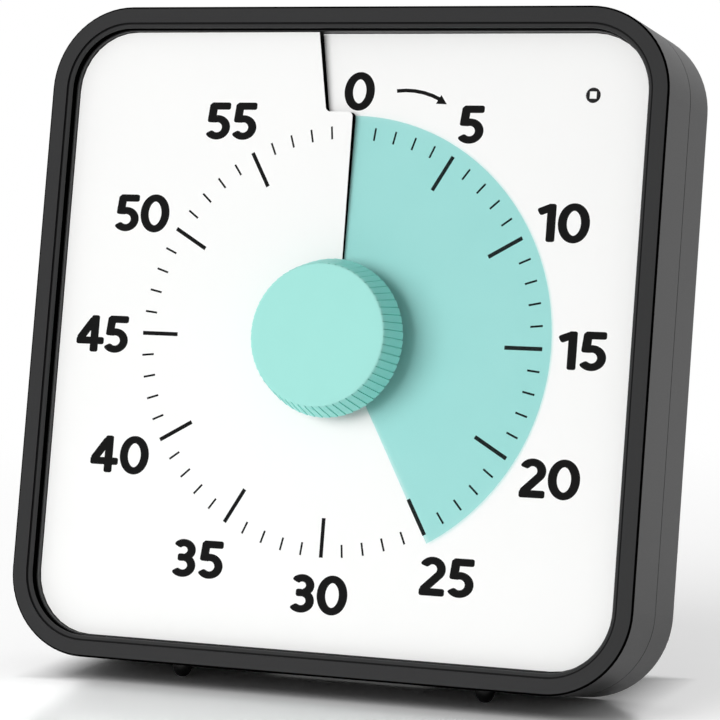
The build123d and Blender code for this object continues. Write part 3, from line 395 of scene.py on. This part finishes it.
def meshObject(name, shape, materials):
    mesh = bpy.data.meshes.new(name)
    shape.to_mesh(mesh)
    shape.free()
    for material in materials:
        mesh.materials.append(material)
    thing = bpy.data.objects.new(name, mesh)
    bpy.context.scene.collection.objects.link(thing)
    return thing


def newPiece(name, shape, body, materials, replaced):
    piece = meshObject(name, shape, [finishes[material] for material in materials])
    piece.data.transform(dialPlace)
    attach(piece, body)
    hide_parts(*replaced)
    return piece


def turnedPiece(name, shape, body, material, replaced, sharp):
    # round surfaces are shaded smooth, edges above the sharp angle in degrees stay crisp
    bmesh.ops.recalc_face_normals(shape, faces=shape.faces)
    for face in shape.faces:
        face.smooth = True
    piece = newPiece(name, shape, body, [material], [replaced])
    piece.data.set_sharp_from_angle(angle=math.radians(sharp))
    return piece


# The dial and the colour disc are the same helical sheet, cut along one radius.
sheetForm = {
    "rise": 0.9,            # over one turn
    "flapStart": 16.0,      # radius where the flaps start to bend apart
    "flapSlope": 0.025,     # extra step per mm of radius
    "flapAngle": 50.0,
}


def sheetHeight(angle, radius):
    # angle clockwise from the cut; a little below 0 for the tab that reaches over the cut
    fromCut = min(max(angle, 0.0), sheetForm["flapAngle"])
    toCut = min(max(360.0 - angle, 0.0), sheetForm["flapAngle"])
    low, high = (0.5 + 0.5 * math.cos(math.pi * part / sheetForm["flapAngle"]) for part in (fromCut, toCut))
    step = sheetForm["flapSlope"] * (radius - sheetForm["flapStart"])
    return sheetForm["rise"] * (angle / 360.0 - 0.5) + step * 0.5 * (high - low)


# Each numeral is drawn with an upright oval pen, wider than it is high. A stroke is a list of
# points and arcs (centre x, centre y, radius x, radius y, start, end), with rounded ends.
pen = {
    "wide": 2.5, "high": 2.02, "endRadius": 0.55,
    "endTurns": (0, 30, 60, 90),    # stations on the rounded corners of a stroke's end
    "endClear": 1.2,                # end radii without any other station
    "joint": 0.01,                  # share of a leg that counts as its end
}
numeralStrokes = {
    "0": [[(4.43, 5.12, 3.2, 4.3, -15, 195)], [(4.43, 5.12, 3.2, 4.3, 165, 375)]],
    "1": [[(3.75, 0.0), (3.75, 10.15)], [(0.1, 7.85), (3.6, 9.2)]],
    "2": [[(3.65, 6.95, 2.55, 2.3, 158, -32), (1.15, 1.3)], [(0.2, 0.95), (7.4, 0.95)]],
    "3": [[(3.7, 7.3, 2.35, 1.95, 150, -80)], [(3.6, 3.15, 2.65, 2.2, 85, -148)], [(2.0, 5.3), (4.3, 5.3)]],
    "4": [[(5.85, 0.0), (5.85, 10.2)], [(0.3, 3.15), (8.85, 3.15)], [(5.6, 9.3), (1.3, 3.5)]],
    "5": [[(1.4, 9.25), (7.4, 9.25)], [(2.3, 9.9), (1.75, 4.7)], [(3.52, 3.35, 2.76, 2.4, 128, -150)]],
}
numeralAdvance = {"0": 9.1, "1": 5.65, "2": 8.0, "3": 8.15, "4": 9.3, "5": 8.0}
numeralKern = {45: -0.55}       # figures that sit closer than their advance says


def strokeOutline(path):
    stretch = pen["wide"] / pen["high"]
    spine = []
    for item in path:
        spine += arcPoints(item[:2], *item[2:]) if len(item) == 6 else [Vector(item)]
    spine = [Vector((point.x / stretch, point.y)) for point in spine]
    lengths = [0.0]
    for start, end in zip(spine, spine[1:]):
        lengths.append(lengths[-1] + (end - start).length)
    total, radius = lengths[-1], pen["endRadius"]
    clear = radius * pen["endClear"]
    insets = [radius * (1 - math.cos(math.radians(turn))) for turn in pen["endTurns"]]
    stations = (insets + [length for length in lengths if clear < length < total - clear]
                + [total - inset for inset in reversed(insets)])
    left, right = [], []
    for station in stations:
        leg = max(index for index in range(len(spine) - 1) if lengths[index] <= station)
        share = (station - lengths[leg]) / (lengths[leg + 1] - lengths[leg])
        point = spine[leg].lerp(spine[leg + 1], share)
        last = min(leg + 1 + (share > 1 - pen["joint"]), len(spine) - 1)
        first = max(leg - (share < pen["joint"]), 0)
        ahead = spine[last] - spine[first]
        across = Vector((-ahead.y, ahead.x)).normalized()
        fromEnd = min(station, total - station, radius)
        half = pen["high"] / 2 - radius + math.sqrt(radius ** 2 - (radius - fromEnd) ** 2)
        left.append(point + across * half)
        right.append(point - across * half)
    return [Vector((point.x * stretch, point.y)) for point in right + left[::-1]]


dial = {
    "thickness": 0.3,
    "corner": 16.65,
    "hole": 13.8,
    "slit": 0.1,
    "tabBottom": 62.0,          # the cut jogs left here, round the zero
    "tabFoot": -7.9,
    "tabTop": -11.5,
    "tabCorner": 1.4,
    "lampHole": 2.05, "lampStep": 15,
    "meshStep": 5.0, "meshShift": 0.01,     # the shift keeps grid points off the outline
    "merge": 1e-4, "weld": 0.001,           # points closer than this are one, in a half and at the seam
    "tickEnd": 58.3,
    "minorTick": (54.8, 0.56),  # where it starts, and its width
    "majorTick": (47.7, 1.10), "majorEvery": 5,
    "tickCentre": (0.18, -0.15),        # the print sits a little off the knob's axis
    "numerals": {               # left foot of each numeral
        0: (-3.85, 62.75), 5: (29.9, 53.95), 10: (54.6, 28.1), 15: (63.0, -5.3), 20: (54.6, -39.1),
        25: (28.7, -66.4), 30: (-8.3, -73.4), 35: (-44.1, -66.2), 40: (-71.5, -39.1),
        45: (-78.9, -5.95), 50: (-69.85, 27.95), 55: (-44.05, 53.95)},
    "arrowArc": ((14.2, 46.0), 22.2, 97.0, 62.5),   # centre, radius, start and end angles
    "arrowWidth": 1.0,
    "arrowHead": ((24.5, 67.0), (23.1, 64.6), (26.3, 64.5)),
}
lampLow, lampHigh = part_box("led_holder")
lampPlace = (dialPlace.inverted() @ ((lampLow + lampHigh) / 2)).to_2d()
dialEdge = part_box("dial_plate")[1].x / mm


def dialSide(side):
    # anticlockwise outline of one half of the sheet, cut along the slit and below the knob
    edge, half = dialEdge, dial["slit"] / 2
    holeTop = math.sqrt(dial["hole"] ** 2 - half ** 2)
    slope = (dial["tabTop"] - dial["tabFoot"]) / (edge - dial["tabBottom"])
    shift = -half if side < 0 else half
    foot = Vector((dial["tabFoot"] + shift, dial["tabBottom"] + shift))
    top = Vector((foot.x + slope * (edge - foot.y), edge))
    inner = Vector((shift, foot.y))
    corners = [Vector((side * edge, -edge)), Vector((side * edge, edge))]
    seam = [Vector((0.0, -dial["hole"])), Vector((0.0, -edge))]
    outer = (roundedCorner(seam[1], corners[0], corners[1], dial["corner"])
             + roundedCorner(corners[0], corners[1], top, dial["corner"]) + [top])
    tab = roundedCorner(top, foot, inner, dial["tabCorner"])
    tab += roundedCorner(foot, inner, (shift, 0.0), dial["tabCorner"])
    hole = [clockPoint(dial["hole"], side * angle) for angle in range(int(minute), 180, int(minute))]
    outline = seam + outer + tab + [Vector((shift, holeTop))] + hole
    return outline[::side]


def printedShapes():
    shapes = []
    for index in range(1, round(360 / minute)):
        start, width = dial["minorTick"] if index % dial["majorEvery"] else dial["majorTick"]
        along = clockPoint(1.0, index * minute)
        across = Vector((along.y, -along.x)) * width / 2
        near, far = (Vector(dial["tickCentre"]) + along * reach for reach in (start, dial["tickEnd"]))
        shapes.append([near + across, far + across, far - across, near - across])
    for number, (x, y) in dial["numerals"].items():
        for letter in str(number):
            for path in numeralStrokes[letter]:
                shapes.append([point + Vector((x, y)) for point in strokeOutline(path)])
            x += numeralAdvance[letter] + numeralKern.get(number, 0.0)
    centre, radius, start, end = dial["arrowArc"]
    half = dial["arrowWidth"] / 2
    shapes.append(arcPoints(centre, radius + half, radius + half, start, end)
                  + arcPoints(centre, radius - half, radius - half, end, start))
    shapes.append([Vector(point) for point in dial["arrowHead"]])
    return shapes


def anticlockwise(points):
    area = sum(a.x * b.y - b.x * a.y for a, b in zip(points, points[1:] + points[:1]))
    return points if area > 0 else points[::-1]


def makeDial():
    prints = [anticlockwise(shape) for shape in printedShapes()]
    step, radius = dial["lampStep"], dial["lampHole"]
    lamp = [lampPlace + point for point in arcPoints((0, 0), radius, radius, 0, 360 - step, step)]
    count = int(dialEdge / dial["meshStep"])
    steps = [index * dial["meshStep"] + dial["meshShift"] for index in range(-count, count + 1)]
    shape = bmesh.new()
    for side in (1, -1):
        outline = subdivided(dialSide(side), dial["meshStep"])
        points, polygons = [Vector((x, y)) for x in steps for y in steps], []
        # polygon 0 is the sheet, 1 the lamp's hole, and all others are printed
        for polygon in [outline, lamp] + prints:
            polygons.append(list(range(len(points), len(points) + len(polygon))))
            points += polygon
        flat, _, triangles, _, _, sources = delaunay_2d_cdt(points, [], polygons, 0, dial["merge"])
        made = {}
        for triangle, source in zip(triangles, sources):
            if 0 not in source or 1 in source:
                continue
            corners = []
            for index in triangle:
                if index not in made:
                    x, y = flat[index]
                    angle = math.degrees(math.atan2(x, y))
                    if side < 0:
                        angle = angle % 360.0 if x < 0 else 360.0 - angle % 360.0
                    made[index] = shape.verts.new((x, y, sheetHeight(angle, math.hypot(x, y))))
                corners.append(made[index])
            face = shape.faces.new(corners)
            face.material_index = 1 if any(index > 1 for index in source) else 0
    bmesh.ops.remove_doubles(shape, verts=shape.verts, dist=dial["weld"])
    bmesh.ops.recalc_face_normals(shape, faces=shape.faces)
    if sum(face.normal.z for face in shape.faces) < 0:
        bmesh.ops.reverse_faces(shape, faces=shape.faces)
    layers = ["white_dial", "printed_ink", "black_backing"]
    piece = newPiece("printed_dial", shape, "case", layers, ["dial_plate"])
    thick = piece.modifiers.new("thickness", "SOLIDIFY")
    thick.thickness = dial["thickness"] * mm
    thick.offset = -1.0
    # the back and the cut edges take the black as painted shade for the gap along the cut
    thick.material_offset = layers.index("black_backing")
    thick.material_offset_rim = layers.index("black_backing")


makeDial()
print("dial printed")


disc = {
    "inner": 13.0, "outer": 61.0, "thickness": 0.2, "rings": 10, "step": 1.5,
    "drop": -0.01,          # keeps it just behind the dial when it is turned back to zero
    "minutes": 25,
}


def makeDisc():
    shape = bmesh.new()
    radii = [disc["inner"] + (disc["outer"] - disc["inner"]) * index / disc["rings"]
             for index in range(disc["rings"] + 1)]
    count = round(360.0 / disc["step"])
    layers = []
    for drop in (disc["drop"], disc["drop"] - disc["thickness"]):
        grid = []
        for index in range(count + 1):
            angle = disc["step"] * index
            row = []
            for radius in radii:
                x, y = clockPoint(radius, angle + minute * disc["minutes"])
                row.append(shape.verts.new((x, y, sheetHeight(angle, radius) + drop)))
            grid.append(row)
        layers.append(grid)
    front, back = layers
    last = len(radii) - 1
    for i in range(count):
        for j in range(last):
            shape.faces.new((front[i][j], front[i][j + 1], front[i + 1][j + 1], front[i + 1][j]))
            face = shape.faces.new((back[i][j], back[i + 1][j], back[i + 1][j + 1], back[i][j + 1]))
            face.material_index = 1     # the clear back
        for j in (0, last):
            shape.faces.new((front[i][j], front[i + 1][j], back[i + 1][j], back[i][j]))
    for i in (0, count):
        for j in range(last):
            shape.faces.new((front[i][j], front[i][j + 1], back[i][j + 1], back[i][j]))
    bmesh.ops.recalc_face_normals(shape, faces=shape.faces)
    skins = ["teal_film", "film_back"]
    newPiece("teal_disc", shape, "dial_drive", skins, ["colour_disc"])


makeDisc()
print("disc made")


knob = {
    "backRadius": 21.5, "frontRadius": 19.3, "back": 5.3, "front": 13.8,
    "edge": 0.8,            # rounding of the front edge
    "lip": 0.3,             # rounding of the back edge
    "wall": 2.5, "ceiling": 11.6, "boss": 6.0, "bossEnd": 3.2, "bore": 3.02, "boreEnd": 11.1,
    "flutes": 60, "depth": 0.45, "fluteFade": 60.0,    # flutes run out over this turn of the front edge
    "shares": ((0.0, 0.0), (0.03, 1.0), (0.11, 1.0),    # place and depth within one flute
               (0.15, 0.30), (0.45, 0.20), (0.75, 0.08)),
    "sideRings": (0.25, 0.5, 0.75, 1.0), "edgeTurns": (15, 30, 45, 60, 75, 90),
    "faceRings": (0.97, 0.8, 0.5, 0.2), "sharp": 32,
}


def knobProfile():
    # (radius, height, how deep the flutes are), from inside the bore round to the front face
    taper = (knob["backRadius"] - knob["frontRadius"]) / (knob["front"] - knob["back"])
    edge, lip, back, front = knob["edge"], knob["lip"], knob["back"], knob["front"]
    faceRadius = knob["frontRadius"] - edge + taper * edge / 2
    wallRadius = knob["backRadius"] - knob["wall"]
    inside = [(knob["bore"], knob["boreEnd"], 0.0), (knob["bore"], knob["bossEnd"], 0.0),
              (knob["boss"], knob["bossEnd"], 0.0), (knob["boss"], knob["ceiling"], 0.0),
              (knob["frontRadius"] - knob["wall"], knob["ceiling"], 0.0), (wallRadius, back, 0.0)]
    outside = [(knob["backRadius"] - lip, back, 1.0), (knob["backRadius"] - taper * lip, back + lip, 1.0)]
    for share in knob["sideRings"]:
        z = back + lip + (front - edge - back - lip) * share
        outside.append((knob["backRadius"] - taper * (z - back), z, 1.0))
    for turn in knob["edgeTurns"]:
        bend = math.radians(turn)
        outside.append((faceRadius + edge * math.cos(bend), front - edge + edge * math.sin(bend),
                        max(0.0, 1.0 - turn / knob["fluteFade"])))
    return inside + outside + [(faceRadius * share, front, 0.0) for share in knob["faceRings"]]


def makeKnob():
    shape = bmesh.new()
    rings = []
    for radius, z, fluted in knobProfile():
        ring = []
        for flute in range(knob["flutes"]):
            for share, deep in knob["shares"]:
                turn = 2 * math.pi * (flute + share) / knob["flutes"]
                reach = radius - knob["depth"] * deep * fluted
                ring.append(shape.verts.new((reach * math.cos(turn), reach * math.sin(turn), z)))
        rings.append(ring)
    joinRings(shape, rings)
    shape.faces.new(rings[0])
    shape.faces.new(rings[-1])
    turnedPiece("fluted_knob", shape, "dial_drive", "teal_abs", "knob", knob["sharp"])


makeKnob()
print("knob made")


foot = {
    "across": 44.6, "drop": -90.0, "depth": -13.6,      # middle of the hole in the case's bottom
    "radius": 2.65, "height": 3.42, "stem": 2.2, "head": 3.4, "headHeight": 1.2, "wall": 2.4,
    "around": 40, "steps": 10, "sharp": 40,
}


def makeFoot(side):
    # rubber plug: a head inside the case, a stem through its wall, and a dome that stands on the table
    top = foot["wall"] + foot["headHeight"]
    profile = [(foot["head"], top), (foot["head"], foot["wall"]), (foot["stem"], foot["wall"]),
               (foot["stem"], 0.0)]
    for step in range(foot["steps"]):
        turn = math.pi / 2 * step / foot["steps"]
        profile.append((foot["radius"] * math.cos(turn), -foot["height"] * math.sin(turn)))
    turns = [2 * math.pi * index / foot["around"] for index in range(foot["around"])]
    shape = bmesh.new()

    def spot(radius, turn, y):
        return shape.verts.new((side * foot["across"] + radius * math.cos(turn), foot["drop"] + y,
                                foot["depth"] + radius * math.sin(turn)))

    rings = [[spot(radius, turn, y) for turn in turns] for radius, y in profile]
    joinRings(shape, rings)
    closeRing(shape, rings[0], spot(0.0, 0.0, top))
    closeRing(shape, rings[-1], spot(0.0, 0.0, -foot["height"]))
    name = "left" if side < 0 else "right"
    piece = turnedPiece(name + "_dome_foot", shape, "case", "soft_rubber", name + "_foot", foot["sharp"])
    for vertex in piece.data.vertices:
        vertex.co.z = max(vertex.co.z, 0.0)     # the table flattens the tip


makeFoot(-1)
makeFoot(1)
print("feet made")


screw = {
    "place": 76.2, "seat": -21.0, "tip": -6.7,      # from the case's middle, and along the case's depth
    "shank": 1.5, "tipShare": 0.6, "tipLength": 0.6,
    "head": 2.9, "headHeight": 1.9, "edge": 0.6, "edgeSteps": 4,
    "armLength": 1.55, "armHalf": 0.36, "recess": 1.1, "draft": 0.8,    # cross recess
    "sharp": 35,
}
nearZero = 1e-6         # keeps a division clear of zero


def crossReach(turn):
    # from the middle of the cross recess to its outline
    across = (turn + math.pi / 4) % (math.pi / 2) - math.pi / 4
    return min(screw["armLength"] / math.cos(across), screw["armHalf"] / max(abs(math.sin(across)), nearZero))


def makeScrews():
    # four pan head screws with a cross recess, heads towards the back
    corner = math.degrees(math.atan2(screw["armHalf"], screw["armLength"]))
    quarter = [-corner, 0.0, corner, (corner + 45) / 2, 45.0, (135 - corner) / 2]
    turns = [math.radians(turn + 90 * side) for side in range(4) for turn in quarter]
    top, edge, shank = screw["seat"] - screw["headHeight"], screw["edge"], screw["shank"]
    bottom = top + screw["recess"]
    profile = [(shank * screw["tipShare"], screw["tip"]), (shank, screw["tip"] - screw["tipLength"]),
               (shank, screw["seat"]), (screw["head"], screw["seat"])]
    for step in range(screw["edgeSteps"] + 1):
        bend = math.pi / 2 / screw["edgeSteps"] * step
        profile.append((screw["head"] - edge * (1 - math.cos(bend)), top + edge * (1 - math.sin(bend))))
    shape = bmesh.new()

    def spot(sideX, sideY, radius, turn, z):
        return shape.verts.new((sideX * screw["place"] + radius * math.cos(turn),
                                sideY * screw["place"] + radius * math.sin(turn), z))

    for sides in ((-1, -1), (-1, 1), (1, -1), (1, 1)):
        rings = [[spot(*sides, radius, turn, z) for turn in turns] for radius, z in profile]
        for share, z in ((1.0, top), (screw["draft"], bottom)):
            rings.append([spot(*sides, crossReach(turn) * share, turn, z) for turn in turns])
        joinRings(shape, rings)
        closeRing(shape, rings[0], spot(*sides, 0.0, 0.0, screw["tip"]))
        closeRing(shape, rings[-1], spot(*sides, 0.0, 0.0, bottom))
    turnedPiece("cross_head_screws", shape, "case", "steel", "case_screws", screw["sharp"])


makeScrews()
print("screws made")


camera = {
    "place": (342.13, -72.67, 787.07), "aim": (7.16, -5.06, 0.0), "lens": 160.39, "sensor": 36.0,
    "near": 0.05, "far": 20.0,
}
studio = {
    "ambient": 0.33,            # how strongly the white room lights the object
    "keyTurn": (-24.0, 1.0), "keyLevel": 0.67,      # degrees left of the dial's normal and above it
    "keyDistance": 2000.0, "keySize": 1500.0,
    "tableTurn": (-26.0, 34.0), "tableLevel": 0.22,     # a lamp for the table only, higher up
    "floorSize": 6.0, "floorCells": 4, "floorFade": (0.20, 0.55),   # metres: past this, plain white
    "floorWhite": 0.95, "floorGloss": 0.42, "floorRoughness": 0.2,
    "paintedShadeSide": 0.088, "paintedShadeDepth": 0.036,        # metres: painted shade, the table's reflection is taken out under the object
    "paintedShadeFade": (0.83, 1.0),
}


def aimAt(thing, place, target):
    thing.location = place
    thing.rotation_euler = (Vector(target) - Vector(place)).to_track_quat("-Z", "Y").to_euler()


def makeCamera():
    data = bpy.data.cameras.new("camera")
    data.lens, data.sensor_width = camera["lens"], camera["sensor"]
    data.clip_start, data.clip_end = camera["near"], camera["far"]
    eye = bpy.data.objects.new("camera", data)
    bpy.context.scene.collection.objects.link(eye)
    aimAt(eye, dialPlace @ Vector(camera["place"]), dialPlace @ Vector(camera["aim"]))
    bpy.context.scene.camera = eye


def makeSoftbox(name, turn, level, facing):
    # level is what the softbox gives on a surface that faces the given way
    side, rise = (math.radians(angle) for angle in turn)
    toLamp = Vector((math.sin(side) * math.cos(rise), math.sin(rise), math.cos(side) * math.cos(rise)))
    toLamp = (dialPlace.to_3x3() @ toLamp).normalized()
    radius, distance = studio["keySize"] * mm / 2, studio["keyDistance"] * mm
    data = bpy.data.lights.new(name, "AREA")
    data.shape, data.size = "DISK", 2 * radius
    data.energy = level * math.pi ** 2 * (distance ** 2 + radius ** 2) / toLamp.dot(facing)
    lamp = bpy.data.objects.new(name, data)
    lamp.visible_glossy = False
    bpy.context.scene.collection.objects.link(lamp)
    centre = dialPlace.to_translation()
    aimAt(lamp, centre + toLamp * distance, centre)
    return lamp


def linkTo(linking, role, things, state):
    group = bpy.data.collections.new(role)
    for thing in things:
        group.objects.link(thing)
    setattr(linking, role, group)
    for item in group.collection_objects:
        item.light_linking.link_state = state


def makeLamps(table):
    # the key lights the object only, and the frame's rim doesn't shade the dial from it
    key = makeSoftbox("key", studio["keyTurn"], studio["keyLevel"], dialOut)
    linkTo(key.light_linking, "blocker_collection", [frame["nodes"]["front_frame"]], "EXCLUDE")
    linkTo(key.light_linking, "receiver_collection", [table], "EXCLUDE")
    high = makeSoftbox("table_lamp", studio["tableTurn"], studio["tableLevel"], Vector((0.0, 0.0, 1.0)))
    linkTo(high.light_linking, "receiver_collection", [table], "INCLUDE")


def rayIs(material, *kinds):
    # 1 for rays of these kinds, 0 for all others
    path = addNode(material, "LightPath")
    found = 0.0
    for kind in kinds:
        found = calculate(material, "MAXIMUM", path.outputs["Is " + kind + " Ray"], found)
    return found


def makeWorld():
    # the room lights the object softly; seen directly or in a reflection it is plain white
    world = bpy.data.worlds.new("room")
    bpy.context.scene.world = world
    world.use_nodes = True
    world.node_tree.nodes.clear()
    seen = rayIs(world, "Camera", "Glossy", "Transmission")
    level = remap(world, seen, target=(studio["ambient"], 1.0))
    room = addNode(world, "Background", {"Color": plainWhite, "Strength": level})
    addNode(world, "OutputWorld", {"Surface": room.outputs[0]})


def tableFinish():
    # white satin table: soft shadow and a faint reflection near the object, painted shade where the reflection is
    # taken out under it, plain white further out
    material = newMaterial("white_table_with_painted_shade")
    place = addNode(material, "NewGeometry").outputs["Position"]
    fade = remap(material, calculateVector(material, "LENGTH", place), studio["floorFade"],
                 interpolation_type="SMOOTHSTEP")
    seen = rayIs(material, "Camera", "Glossy")
    seenWhite = 1.0 / (studio["ambient"] + studio["tableLevel"])
    level = remap(material, seen, target=(studio["floorWhite"], seenWhite))
    colour = addNode(material, "CombineColor", {name: level for name in ("Red", "Green", "Blue")})
    matt = addNode(material, "BsdfDiffuse", {"Color": colour.outputs[0]})
    spot = addNode(material, "SeparateXYZ", {"Vector": place})
    # painted shade: under the object the reflection's colour goes to black
    reach = []
    for axis, half in (("X", studio["paintedShadeSide"]), ("Y", studio["paintedShadeDepth"])):
        share = calculate(material, "MULTIPLY", spot.outputs[axis], 1 / half)
        reach.append(calculate(material, "ABSOLUTE", share))
    mirror = remap(material, calculate(material, "MAXIMUM", *reach), studio["paintedShadeFade"])
    sheen = addNode(material, "BsdfGlossy", {"Color": mirror, "Roughness": studio["floorRoughness"]})
    satin = addNode(material, "MixShader", {
        0: studio["floorGloss"], 1: matt.outputs[0], 2: sheen.outputs[0]})
    strength = remap(material, seen, target=(studio["ambient"], 1.0))
    glow = addNode(material, "Emission", {"Color": plainWhite, "Strength": strength})
    surface = addNode(material, "MixShader", {0: fade, 1: satin.outputs[0], 2: glow.outputs[0]})
    return finish(material, surface)


def makeFloor():
    shape = bmesh.new()
    cells = studio["floorCells"]
    bmesh.ops.create_grid(shape, x_segments=cells, y_segments=cells, size=studio["floorSize"] / 2)
    table = meshObject("table", shape, [tableFinish()])
    return table


makeCamera()
makeWorld()
makeLamps(makeFloor())
bpy.context.scene.view_settings.view_transform = "Standard"
print("studio set")
